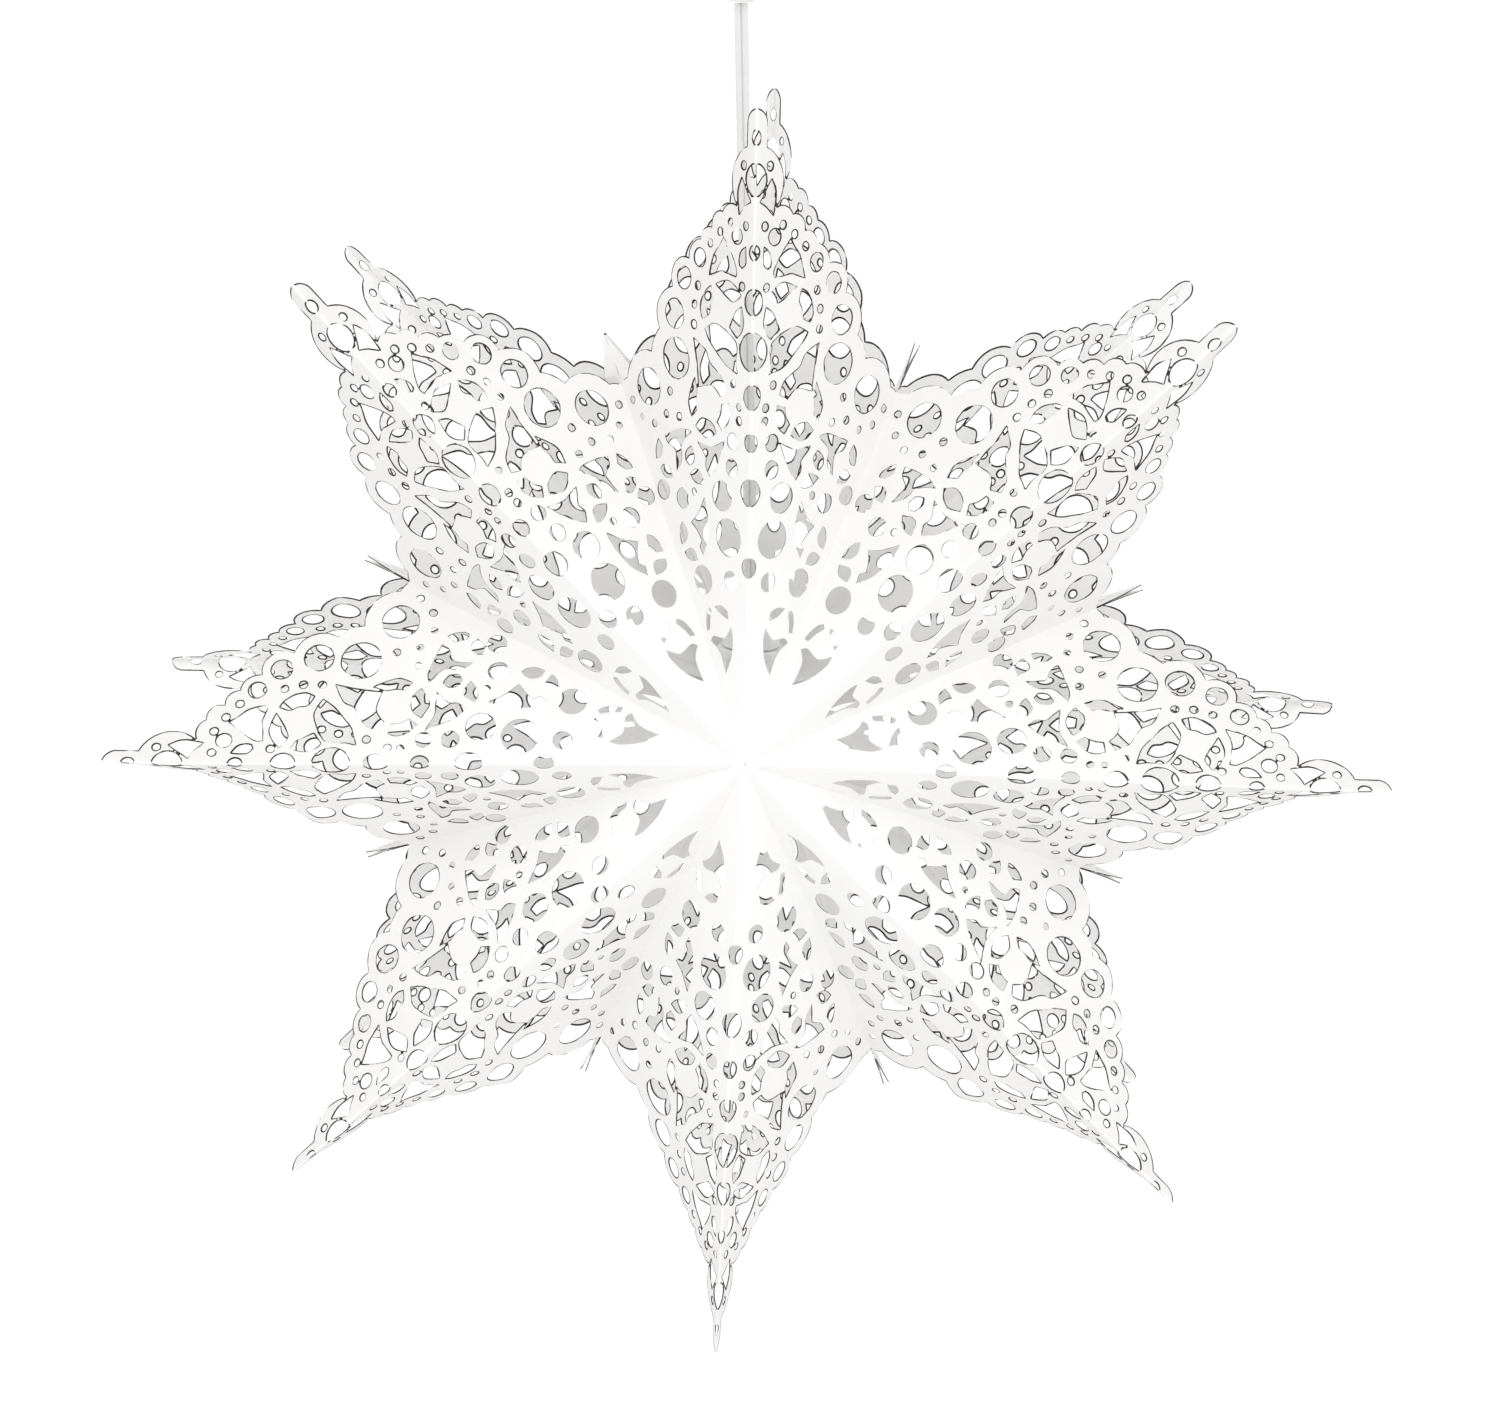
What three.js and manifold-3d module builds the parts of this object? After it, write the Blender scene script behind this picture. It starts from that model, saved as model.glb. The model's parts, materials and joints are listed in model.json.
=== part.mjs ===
// An eight-pointed paper snowflake star, cut from card like lace, that folds flat round its own axis.
// It hangs by its lamp cord. Units are millimetres, +Z is up, the origin is the star's centre,
// the star's axis is Y and its face looks along -Y.
import * as THREE from 'three';
import { mergeVertices } from 'three/addons/utils/BufferGeometryUtils.js';
import Module from 'manifold-3d';

const wasm = await Module();
wasm.setup();

// Driving dimensions of the star.
const POINTS = ['north', 'northeast', 'east', 'southeast', 'south', 'southwest', 'west', 'northwest'];
const TIP_RADIUS = 300;     // from the axis to the end of a point
const TIP_DEPTH = 84;       // from the middle plane to the end of a point
const HUB_DEPTH = 76.4;     // from the middle plane to the centre of each face
const NOTCH_RADIUS = 203.9; // from the axis to the sharp end of a seam
const CARD = 0.4;           // thickness of the card
const FLAP_WIDTH = 20;      // glued flap along each seam
const SEAM_OPENING = 1.6;   // between the two flaps that the closure joins

// Clearances that let the card fold without cutting into itself.
const HUB_CLEAR = 14;                            // bare radius round the axis, at a ridge or a flap
const SEAM_HUB_CLEAR = 15.4;                     // and along a seam
const VALLEY_CLEAR = 3;                          // panel edge to the seam's line
const RIDGE_CLEAR = 0.8;                         // panel edge to the ridge's line
const RIDGE_RELIEF = THREE.MathUtils.degToRad(1.9); // how far each panel stands open at its ridge
const FLAP_CLEAR = 0.3;                          // flap edge to the seam's line, and front to back
const CORD_SLOT = 3.8;                           // front closing flap to back one, for the cord when folded

// Each panel is drawn flat: u runs from the hub along the ridge, v from the ridge to the seam.
// Its rim is a row of round lobes, from the head of the point down to the seam.
const RIM = [
  { u: 267.5, v: 1.2, r: 16.6 },
  { u: 249.3, v: 16.8, r: 8 },
  { u: 246.5, v: 25.3, r: 6.5 },
  { u: 238.5, v: 33, r: 6.5 },
  { u: 230.1, v: 39.3, r: 8.4 },
  { u: 219.6, v: 50.3, r: 9.7 },
  { u: 201.5, v: 56.2, r: 13.4 },
  { u: 180.5, v: 56, r: 17.8 },
  { u: 165.2, v: 75.8, r: 17.3 },
  { u: 157, v: 89, r: 10.6 },
];
const HOLES = [
  { u: 105.2, v: 14.7, r: 9 },
  { u: 202.3, v: 56, r: 6.8 },
  { u: 182.1, v: 54.6, r: 9.5 },
  { u: 165.2, v: 75.8, r: 8.8 },
];
const TONGUE = { halfWidth: 7.1, r: 7.3, u: 292.7 };
const INSIDE = { u: 150, v: 20 }; // a place well inside the panel

// The lamp inside the star, and the cord that holds it up.
const RING = { radius: 15.2, wire: 1.1 };      // hanger ring round the holder's neck
const HANGER_REACH = 70;                       // from the lamp to each end of the hanger
const HOLDER_TOP = 38;
const CAP_TOP = 52;
const HOLDER = { radius: 16.5, neck: 13.5 };
const CAP = { radius: 14, shoulder: 6 };         // the shoulder slopes in by this and down by this
const SHADE_RING = { inner: 13.9, outer: 19, rim: 2, top: -1.6, bottom: -8 };
const BASE = { radius: 7, top: -14.3, bottom: -19 };
const BULB = { radius: 17.5, neck: 7.5, steps: 9 };
const CORD = { width: 6.2, thickness: 3.1, length: 290, steps: 22, lean: THREE.MathUtils.degToRad(-3) };
const GRIP = { radius: 7, height: 18, chamfer: 1.5 };
const PAD = { radius: 5, thickness: 0.6, along: 160, depth: -8.2, sides: 16 };
const GAP = 0.3;  // between pieces that touch
const ROUND = 20; // sides of a turned piece

const WHITE_CARD = { color: 0xf6f5f1, roughness: 0.85, metalness: 0 };
const INNER_CARD = { color: 0xe9e6dd, roughness: 0.9, metalness: 0 };
const WHITE_PLASTIC = { color: 0xf2f2ef, roughness: 0.45, metalness: 0 };
const WHITE_CORD = { color: 0xf4f4f2, roughness: 0.5, metalness: 0 };
const STEEL = { color: 0xc9c9c6, roughness: 0.35, metalness: 1 };
const FROSTED_GLASS = { color: 0xfbfaf5, roughness: 0.3, metalness: 0 };
const HOOK_FELT = { color: 0xefefec, roughness: 0.95, metalness: 0 };

const star = new THREE.Group();

function addPiece(name, geometry, look) {
  const mesh = new THREE.Mesh(geometry, new THREE.MeshStandardMaterial(look));
  mesh.name = name;
  star.add(mesh);
  return mesh;
}

// Places in the star. The azimuth turns from +X towards +Z.
const onCircle = (radius, azimuth, y) =>
  new THREE.Vector3(radius * Math.cos(azimuth), y, radius * Math.sin(azimuth));
const STEP = (2 * Math.PI) / POINTS.length;
const pointAzimuth = (index) => Math.PI / 2 - index * STEP;
const seamAzimuth = (index) => Math.PI / 2 + STEP / 2 - index * STEP;

// Where two rim lobes meet, on the side away from the panel's middle.
function cusp(a, b) {
  const gap = Math.hypot(b.u - a.u, b.v - a.v);
  const along = (gap * gap + a.r * a.r - b.r * b.r) / (2 * gap);
  const across = Math.sqrt(a.r * a.r - along * along);
  const [eu, ev] = [(b.u - a.u) / gap, (b.v - a.v) / gap];
  const meets = [1, -1].map((side) => ({
    u: a.u + along * eu - side * across * ev,
    v: a.v + along * ev + side * across * eu,
  }));
  const reach = (p) => Math.hypot(p.u - INSIDE.u, p.v - INSIDE.v);
  return reach(meets[0]) > reach(meets[1]) ? meets[0] : meets[1];
}

function panelOutline(seamAngle) {
  const bearing = (lobe, p) => Math.atan2(p.v - lobe.v, p.u - lobe.u);
  const head = RIM[0];
  const rootU = head.u + Math.sqrt(head.r ** 2 - (TONGUE.halfWidth - head.v) ** 2);
  const last = RIM[RIM.length - 1];
  const lastInset = last.u * Math.sin(seamAngle) - last.v * Math.cos(seamAngle);
  const endBearing = seamAngle + Math.asin((lastInset - VALLEY_CLEAR) / last.r);

  const outline = new THREE.Shape();
  outline.moveTo(HUB_CLEAR, RIDGE_CLEAR);
  const tongueFrom = Math.asin(RIDGE_CLEAR / TONGUE.r);
  const tongueTo = Math.asin(TONGUE.halfWidth / TONGUE.r);
  outline.absarc(TONGUE.u, 0, TONGUE.r, tongueFrom, tongueTo, false);
  let from = { u: rootU, v: TONGUE.halfWidth };
  RIM.forEach((lobe, i) => {
    const to = i + 1 < RIM.length ? cusp(lobe, RIM[i + 1]) : null;
    const until = to ? bearing(lobe, to) : endBearing;
    outline.absarc(lobe.u, lobe.v, lobe.r, bearing(lobe, from), until, false);
    from = to;
  });
  outline.lineTo(
    SEAM_HUB_CLEAR * Math.cos(seamAngle) + VALLEY_CLEAR * Math.sin(seamAngle),
    SEAM_HUB_CLEAR * Math.sin(seamAngle) - VALLEY_CLEAR * Math.cos(seamAngle),
  );
  for (const { u, v, r } of HOLES) {
    const hole = new THREE.Path();
    hole.absarc(u, v, r, 0, Math.PI, false);
    hole.absarc(u, v, r, Math.PI, 2 * Math.PI, false);
    outline.holes.push(hole);
  }
  return outline;
}

// One of a point's four panels. side is 1 for the left half and -1 for the right, with the point held
// upwards, and face is -1 for the front and 1 for the back.
function addPanel(index, side, face) {
  const hub = new THREE.Vector3(0, face * HUB_DEPTH, 0);
  const tip = onCircle(TIP_RADIUS, pointAzimuth(index), face * TIP_DEPTH);
  const notch = onCircle(NOTCH_RADIUS, pointAzimuth(index) + (side * STEP) / 2, 0);
  const ridge = tip.clone().sub(hub).normalize();
  const seam = notch.clone().sub(hub).normalize();
  const normal = new THREE.Vector3().crossVectors(ridge, seam).normalize();
  const across = new THREE.Vector3().crossVectors(normal, ridge);

  const geometry = new THREE.ExtrudeGeometry(panelOutline(ridge.angleTo(seam)), {
    depth: CARD,
    bevelEnabled: false,
    curveSegments: 2,
  });
  geometry.translate(0, 0, -CARD / 2);
  const name = `${POINTS[index]}_${face < 0 ? 'front' : 'back'}_${side > 0 ? 'left' : 'right'}_panel`;
  const mesh = addPiece(name, geometry, WHITE_CARD);
  mesh.quaternion.setFromRotationMatrix(new THREE.Matrix4().makeBasis(ridge, across, normal));
  const opened = new THREE.Quaternion().setFromAxisAngle(seam, side * face * RIDGE_RELIEF);
  mesh.quaternion.premultiply(opened);
  mesh.position.copy(hub);
}

// A flap in the plane of a seam, from the hub out to the sharp end, on the front or the back half.
// It lies offset from the seam's plane, and stops half of middleGap short of the star's middle plane.
function addFlap(name, azimuth, face, { thickness, offset, middleGap }) {
  const slope = Math.atan2(HUB_DEPTH, NOTCH_RADIUS);
  const depthAt = (radius, inset) => HUB_DEPTH - radius * Math.tan(slope) - inset / Math.cos(slope);
  const radiusAt = (depth, inset) => (HUB_DEPTH - depth - inset / Math.cos(slope)) / Math.tan(slope);
  const half = middleGap / 2;
  const corners = [
    [HUB_CLEAR, depthAt(HUB_CLEAR, FLAP_CLEAR)],
    [radiusAt(half, FLAP_CLEAR), half],
    [radiusAt(half, FLAP_WIDTH), half],
    [HUB_CLEAR, depthAt(HUB_CLEAR, FLAP_WIDTH)],
  ];
  const outline = new THREE.Shape(corners.map(([radius, y]) => new THREE.Vector2(radius, face * y)));
  const geometry = new THREE.ExtrudeGeometry(outline, { depth: thickness, bevelEnabled: false });
  geometry.translate(0, 0, offset - thickness / 2);
  const mesh = addPiece(name, geometry, INNER_CARD);
  mesh.quaternion.setFromRotationMatrix(seamBasis(azimuth));
}

// x runs out from the axis, y along the axis, and z across the seam towards a larger azimuth.
function seamBasis(azimuth) {
  const out = onCircle(1, azimuth, 0);
  const axis = new THREE.Vector3(0, 1, 0);
  return new THREE.Matrix4().makeBasis(out, axis, new THREE.Vector3().crossVectors(out, axis));
}

// Seven seams are glued for good, so each has one double-thick flap on each half.
function addGluedSeams() {
  const glued = { thickness: 2 * CARD, offset: 0, middleGap: FLAP_CLEAR };
  for (let i = 1; i < POINTS.length; i += 1) {
    for (const face of [-1, 1]) {
      const half = face < 0 ? 'front' : 'back';
      addFlap(`${POINTS[i - 1]}_${POINTS[i]}_${half}_seam`, seamAzimuth(i), face, glued);
    }
  }
}

// The eighth seam opens. Its flaps stay single, and a hook pad and a loop pad join them.
function addOpeningSeam() {
  const offset = (SEAM_OPENING + CARD) / 2;
  const northern = { thickness: CARD, offset: -offset, middleGap: CORD_SLOT };
  const western = { thickness: CARD, offset, middleGap: CORD_SLOT };
  for (const face of [-1, 1]) {
    const half = face < 0 ? 'front' : 'back';
    addFlap(`north_${half}_closing_flap`, seamAzimuth(0), face, northern);
    addFlap(`northwest_${half}_closing_flap`, seamAzimuth(0), face, western);
  }
  addPad('hook_pad', -1);
  addPad('loop_pad', 1);
}

function addPad(name, side) {
  const geometry = new THREE.CylinderGeometry(PAD.radius, PAD.radius, PAD.thickness, PAD.sides);
  geometry.rotateX(Math.PI / 2);
  geometry.translate(PAD.along, PAD.depth, (side * SEAM_OPENING) / 4);
  addPiece(name, geometry, HOOK_FELT).quaternion.setFromRotationMatrix(seamBasis(seamAzimuth(0)));
}

// A solid of revolution round Z, from a profile of [radius, z] pairs.
function turned(profile) {
  const geometry = new THREE.LatheGeometry(profile.map(([r, z]) => new THREE.Vector2(r, z)), ROUND);
  return geometry.rotateX(Math.PI / 2);
}

function asSolid(geometry) {
  geometry.deleteAttribute('normal');
  geometry.deleteAttribute('uv');
  const merged = mergeVertices(geometry);
  return new wasm.Manifold(
    new wasm.Mesh({
      numProp: 3,
      vertProperties: new Float32Array(merged.attributes.position.array),
      triVerts: new Uint32Array(merged.index.array),
    }),
  );
}

function asGeometry(solid) {
  const mesh = solid.getMesh();
  const geometry = new THREE.BufferGeometry();
  geometry.setAttribute('position', new THREE.BufferAttribute(new Float32Array(mesh.vertProperties), 3));
  geometry.setIndex(new THREE.BufferAttribute(new Uint32Array(mesh.triVerts), 1));
  geometry.computeVertexNormals();
  return geometry;
}

// A bent wire: a ring round the holder's neck, with an arm to each face that ends in a bead.
function addHanger() {
  const [wireSides, beadRadius] = [8, 2];
  let hanger = asSolid(new THREE.TorusGeometry(RING.radius, RING.wire, wireSides, ROUND));
  const armLength = HANGER_REACH - RING.radius;
  for (const side of [-1, 1]) {
    const arm = new THREE.CylinderGeometry(RING.wire, RING.wire, armLength, wireSides);
    arm.translate(0, side * (RING.radius + armLength / 2), 0);
    const bead = new THREE.SphereGeometry(beadRadius, wireSides, wireSides / 2);
    bead.translate(0, side * HANGER_REACH, 0);
    hanger = hanger.add(asSolid(arm)).add(asSolid(bead));
  }
  addPiece('hanger_wire', asGeometry(hanger), STEEL);
}

function addHolder() {
  const collar = RING.wire + GAP;
  addPiece('lamp_holder', turned([
    [0, BASE.top + GAP], [HOLDER.neck, BASE.top + GAP], [HOLDER.neck, collar], [HOLDER.radius, collar],
    [HOLDER.radius, HOLDER_TOP], [0, HOLDER_TOP],
  ]), WHITE_PLASTIC);
  addPiece('holder_cap', turned([
    [0, HOLDER_TOP + GAP], [CAP.radius, HOLDER_TOP + GAP], [CAP.radius, CAP_TOP - CAP.shoulder],
    [CAP.radius - CAP.shoulder, CAP_TOP], [0, CAP_TOP],
  ]), WHITE_PLASTIC);
  const { inner, outer, rim, top, bottom } = SHADE_RING;
  addPiece('shade_ring', turned([
    [inner, bottom], [outer, bottom], [outer, bottom + rim],
    [inner + rim, top], [inner, top], [inner, bottom],
  ]), WHITE_PLASTIC);
}

function addBulb() {
  addPiece('bulb_base', turned([
    [0, BASE.bottom], [BASE.radius, BASE.bottom], [BASE.radius, BASE.top], [0, BASE.top],
  ]), STEEL);
  const opening = Math.asin(BULB.neck / BULB.radius);
  const centre = BASE.bottom - GAP - BULB.radius * Math.cos(opening);
  const globe = Array.from({ length: BULB.steps + 1 }, (_, i) => {
    const angle = Math.PI - ((Math.PI - opening) * i) / BULB.steps;
    return [BULB.radius * Math.sin(angle), centre + BULB.radius * Math.cos(angle)];
  });
  addPiece('bulb_glass', turned([...globe, [0, BASE.bottom - GAP]]), FROSTED_GLASS);
}

// The flat twin cord rises from the holder's cap, a little off the vertical, to a grip at the ceiling.
function addCord() {
  const section = new THREE.Shape();
  section.absellipse(0, 0, CORD.width / 2, CORD.thickness / 2, 0, 2 * Math.PI, false);
  const geometry = new THREE.ExtrudeGeometry(section, {
    depth: CORD.length,
    steps: CORD.steps,
    bevelEnabled: false,
    curveSegments: 5,
  });
  const foot = CAP_TOP + 2 * GAP;
  const cord = addPiece('lamp_cord', geometry, WHITE_CORD);
  cord.position.z = foot;
  cord.rotation.y = CORD.lean;

  const { radius, height, chamfer } = GRIP;
  const grip = addPiece('cord_grip', turned([
    [0, 0], [radius - chamfer, 0], [radius, chamfer], [radius, height], [0, height],
  ]), WHITE_PLASTIC);
  grip.position.set(CORD.length * Math.sin(CORD.lean), 0, foot + CORD.length * Math.cos(CORD.lean) + 2 * GAP);
}

POINTS.forEach((_, index) => {
  for (const face of [-1, 1]) {
    for (const side of [1, -1]) {
      addPanel(index, side, face);
    }
  }
});
addGluedSeams();
addOpeningSeam();
addHanger();
addHolder();
addBulb();
addCord();

export default star;
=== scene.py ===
"""An eight-pointed paper snowflake star, cut from white card like lace, hung by its lamp cord."""
import json
import math

import bpy
import numpy as np
from mathutils import Matrix, Vector, geometry


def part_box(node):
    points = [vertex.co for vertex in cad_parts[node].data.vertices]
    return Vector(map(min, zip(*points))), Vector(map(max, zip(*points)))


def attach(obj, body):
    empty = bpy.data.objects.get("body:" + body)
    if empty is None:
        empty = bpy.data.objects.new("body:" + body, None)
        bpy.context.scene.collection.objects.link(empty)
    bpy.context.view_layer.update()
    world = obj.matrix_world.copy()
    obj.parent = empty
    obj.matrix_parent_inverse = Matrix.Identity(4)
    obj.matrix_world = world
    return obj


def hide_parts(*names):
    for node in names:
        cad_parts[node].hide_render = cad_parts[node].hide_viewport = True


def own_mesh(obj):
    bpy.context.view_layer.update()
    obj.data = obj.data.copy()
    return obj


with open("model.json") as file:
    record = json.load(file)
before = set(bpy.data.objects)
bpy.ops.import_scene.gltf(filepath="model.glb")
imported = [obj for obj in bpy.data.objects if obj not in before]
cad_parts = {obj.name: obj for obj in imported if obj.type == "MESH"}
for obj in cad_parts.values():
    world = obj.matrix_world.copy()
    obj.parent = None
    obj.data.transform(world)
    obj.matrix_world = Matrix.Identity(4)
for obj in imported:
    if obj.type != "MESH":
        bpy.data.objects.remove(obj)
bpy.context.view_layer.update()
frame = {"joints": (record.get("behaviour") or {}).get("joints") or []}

MM = 0.001
POINTS = ("north", "northeast", "east", "southeast", "south", "southwest", "west", "northwest")
STEP = math.tau / len(POINTS)
FACES = {"front": -1, "back": 1}
SIDES = {"left": 1, "right": -1}  # with the point held upwards and seen from the front

# The star's driving sizes. The hub and the seams' directions come from the frame's hinges.
TIP_RADIUS = 300 * MM
TIP_DEPTH = 84 * MM
CARD = 0.4 * MM
FLAP_WIDTH = 20 * MM
SEAM_OPENING = 1.6 * MM

hinges = {joint["name"]: joint for joint in frame["joints"]}
north_hinge = hinges["north_front_left_crease"]
HUB_DEPTH = -north_hinge["pos_m"][1]
SEAM_SLOPE = abs(north_hinge["axis"][1]) / math.hypot(north_hinge["axis"][0], north_hinge["axis"][2])
NOTCH_RADIUS = HUB_DEPTH / SEAM_SLOPE

# Hand-made card never sits quite true. Each point's tip has swung round the axis by this many
# millimetres, anticlockwise as seen from the front, and so has each seam's sharp end.
TIP_SWING = {
    "front": dict(north=5, northeast=1, east=0, southeast=2, south=-4, southwest=1, west=10, northwest=-4),
    "back": dict(north=-1, northeast=1, east=-1, southeast=0, south=0, southwest=-1, west=1, northwest=-4),
}
SEAM_SWING = (-3, 4, -3, 3, -1, 0, -1, 3)
# How many degrees the left and the right half of each point have folded further in by the tip.
TIP_FOLD = {
    "front": dict(north=(8, 5), northeast=(2, 8), east=(6, 30), southeast=(20, 32), south=(34, 34),
                  southwest=(32, 20), west=(28, 6), northwest=(0, 5)),
    "back": dict(north=(14, 18), northeast=(5, 10), east=(22, 5), southeast=(16, 10), south=(15, 20),
                 southwest=(12, 16), west=(6, 20), northwest=(18, 12)),
}
FOLD_START = dict.fromkeys(POINTS, 205) | {"south": 165}  # where along the ridge, in flat millimetres
BOW = (0.48 * MM, 2.24 * MM)  # the least and the most that a panel bulges between ridge and seam
BOW_RADIUS = 200 * MM         # where along the ridge that bulge is measured
TIP_CURL = 3.5 * MM           # how far a tip bends in towards the star's middle plane
CURL_START = 245              # where along the ridge it starts to bend, in flat millimetres
CREASE_ROUND = 0.3 * MM       # how far the folded ridge is rounded off
CREASE_WIDTH = 0.7            # how far over a panel the rounding reaches, in flat millimetres
SEED = 8

# The lace, drawn flat in millimetres: u runs from the hub along the ridge, v from the ridge to the seam.
SEAM_ANGLE = math.radians(31.1)
HUB_HOLE = 0.4  # a panel stops this far from the hub
TONGUE = dict(u=292.7, r=7.3, half_width=7.1)
RIM = (  # centre and radius of each round lobe, from the head of the point down to the seam
    (267.5, 1.2, 16.6), (249.3, 16.8, 8), (246.5, 25.3, 6.5), (238.5, 33, 6.5), (230.1, 39.3, 8.4),
    (219.6, 50.3, 9.7), (201.5, 56.2, 13.4), (180.5, 56, 17.8), (165.2, 75.8, 17.3), (157, 89, 10.6),
)
RIDGE_HOLES = (  # place along the ridge and radius
    (93.5, 4.9), (128.6, 6.4), (151.4, 4.3), (172, 5.6), (192.6, 8.7),
    (214.9, 5.7), (237.1, 3.3), (268.9, 7), (287.3, 3.1),
)
ROUND_HOLES = (
    (85.3, 12.6, 4.7), (81.5, 33, 6.9), (105.2, 14.7, 9), (123.8, 19.7, 7.1), (137.8, 13.2, 4.2),
    (150.3, 12.9, 3.8), (117, 49, 4.8), (118.5, 64, 4.7), (165.2, 75.8, 8.8), (182.1, 54.6, 9.5),
    (202.3, 56, 6.8), (219.6, 50.3, 5), (230.1, 39.3, 4.1), (243.3, 12.6, 3.6),
)
DOT_RADIUS = 1.8
DOTS = (
    (122, 40.1), (160.5, 8.5), (166.8, 8.7), (176.8, 13), (155, 52), (154.7, 61.9), (165.9, 59.1),
    (148.8, 71.1), (150, 80.8), (156.8, 88.8), (199.6, 41.4), (208.6, 41.6), (217.4, 39.6),
    (243.6, 25), (274.6, 9.1), (221.1, 8.1), (248.4, 6.4), (248.4, 17.6), (237.7, 32.1),
)
# Each rosette is a round disc of card held by thin spokes. These are the cuts that leave it.
ROSETTES = {
    "by_hub": (
        ((40, 15.3), (48.7, 11.3), (58.7, 10.3), (63.7, 12), (59.3, 14.7), (57, 17.3), (56.3, 24.7),
         (53.3, 27), (51.3, 22.7), (48, 19.3)),
        ((66.3, 13.7), (70.7, 14.7), (72.1, 19.3), (70.7, 24.5), (68, 20.7)),
        ((57.5, 30), (58.7, 27.3), (63.3, 27.3), (68.3, 26.3), (69.3, 28.5), (66.7, 30.3), (62, 30.8)),
    ),
    "by_seam": (
        ((93, 33.3), (100, 30.1), (105.3, 29.5), (113.3, 30), (120.7, 32.7), (116, 35.3), (112, 37.7),
         (107, 42.5), (104, 38), (100, 34.3), (96.7, 36)),
        ((90, 37), (94, 39.3), (94.8, 42.7), (91.7, 47.7), (89, 44.7), (88.5, 41.3)),
        ((94.7, 49.7), (97.3, 46), (102, 45.1), (106.3, 48.7), (104, 50.7), (99.3, 51.3)),
    ),
    "inner": (
        ((149.4, 18.4), (145.7, 26.3), (145.4, 32), (145.7, 38), (142.5, 34.9), (139.3, 32), (135, 32),
         (131, 28.8), (136.4, 24.1), (142.5, 21.3)),
        ((127.5, 32.4), (132.1, 35.6), (132.9, 39.1), (129.9, 44), (126.8, 39.9), (126.3, 34.9)),
        ((133.6, 44.1), (135.7, 41.3), (140, 40.6), (142.9, 42.7), (140, 46.6), (135.7, 47)),
    ),
    "outer": (
        ((129.3, 53.8), (132.1, 51.3), (136.4, 49.9), (141.4, 50.2), (145.7, 47.7), (149.6, 43.1),
         (150, 48.4), (148.2, 54.9), (144.6, 63.3), (141.1, 60.6), (139.3, 55.2), (136.4, 54.1)),
        ((125.7, 56.6), (130.6, 60.6), (130.4, 64.1), (127.7, 66.9), (125, 63.4), (124.6, 59.9)),
        ((132.1, 69.5), (133.6, 66.3), (138.6, 64.9), (142, 68.1), (138.6, 69.9), (134.3, 70.2)),
    ),
    "big": (
        ((153.6, 20.6), (157.9, 16.3), (162.9, 14.9), (167.1, 15.9), (166.1, 20.9), (161.4, 21.6),
         (157.5, 23.8)),
        ((152.1, 24.5), (156.1, 27.7), (157.1, 34.9), (152.9, 39.7), (150, 35.6), (148.9, 30.6)),
        ((157, 42.7), (160.7, 38.8), (165, 39.5), (169.5, 38.8), (175, 40.6), (168, 44), (163, 44.9)),
        ((172.1, 17.4), (178, 20.5), (183.5, 29.5), (189, 33), (193.2, 41.6), (185, 39.5),
         (177.9, 38.4), (171.4, 37.7), (173.6, 29.9), (172.5, 25.6), (169.3, 22)),
    ),
    "in_head": (
        ((181.8, 10.2), (186.4, 11.3), (193.6, 10.9), (197.1, 13.4), (200.7, 20.6), (202, 27),
         (198.6, 33.8), (193.6, 29.9), (188.6, 24.1), (184.3, 18.4)),
        ((197.9, 10.9), (200.7, 8), (205, 6.6), (212.1, 8), (209.3, 12.3), (205.7, 14.1), (201.8, 16)),
        ((217.1, 8.7), (213.7, 13.7), (215.4, 18.7), (220, 26.6), (222.5, 18.7), (220.7, 13)),
        ((203, 35.5), (205.7, 30.9), (210, 30.1), (213.9, 28.4), (218.6, 30.1), (216.4, 33.4),
         (212.1, 36.2), (207.1, 37.1)),
        ((225.3, 12.6), (228.6, 12.6), (235, 16.6), (241.5, 22.5), (237.9, 25.1), (232.5, 29.1),
         (223.6, 31.6), (226.4, 23.7), (226, 19.4)),
    ),
    "wings": (
        ((229.6, 8.4), (231.6, 6.2), (235, 5.9), (239.1, 6.2), (236.5, 9.5), (233, 10.7), (230.4, 10.2)),
        ((259.3, 3.4), (257.1, 7.3), (252.8, 11.5), (260.7, 12.9), (265, 12.3), (268.9, 10.3),
         (265.7, 8), (261.4, 5.1)),
    ),
}
CORNER = math.radians(55)  # a cut's outline is sharp where it turns by more than this
PANEL_WIDTH = 115          # no part of the panel is further from the ridge than this
PANEL_MIDDLE = (150, 20)   # a place well inside the panel
GRID = 7.0                 # spacing of the mesh's inner points along a row
GRID_ROWS = 6.09           # and of the rows
LONGEST = 2.5              # the outline's longest stretch without a mesh point
CREASE_LINES = (0.5, 1.2)  # rows of mesh points beside the ridge, where the fold is rounded
CREASE_GAP = 0.4           # the least gap from those rows' points to a cut
SCORCH_AND_SHADE_BAND = 1.1               # how far from a cut the card is darkened: scorch from the cutter and painted shade along the cut

# How dark each face of the card is along its cuts, scorch with painted shade, and how much painted light
# whitens the face, as places along the ridge and the amounts there. The inner face has as much painted
# light all over.
HUB_FADE = ((60.5, 154), (0.15, 1))  # scorch and painted edge shade are weaker on both faces towards the hub
OUTER_SCORCH_AND_SHADE = ((150, 290), (0.42, 0.75))
INNER_SCORCH_AND_SHADE = ((190, 260), (1.5, 0.55))
# Painted light: the outer face lighter towards the hub, the inner face lighter all over.
OUTER_PAINTED_LIGHT = ((60, 280), (0.7, 0))
INNER_PAINTED_LIGHT = 0.8

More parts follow.
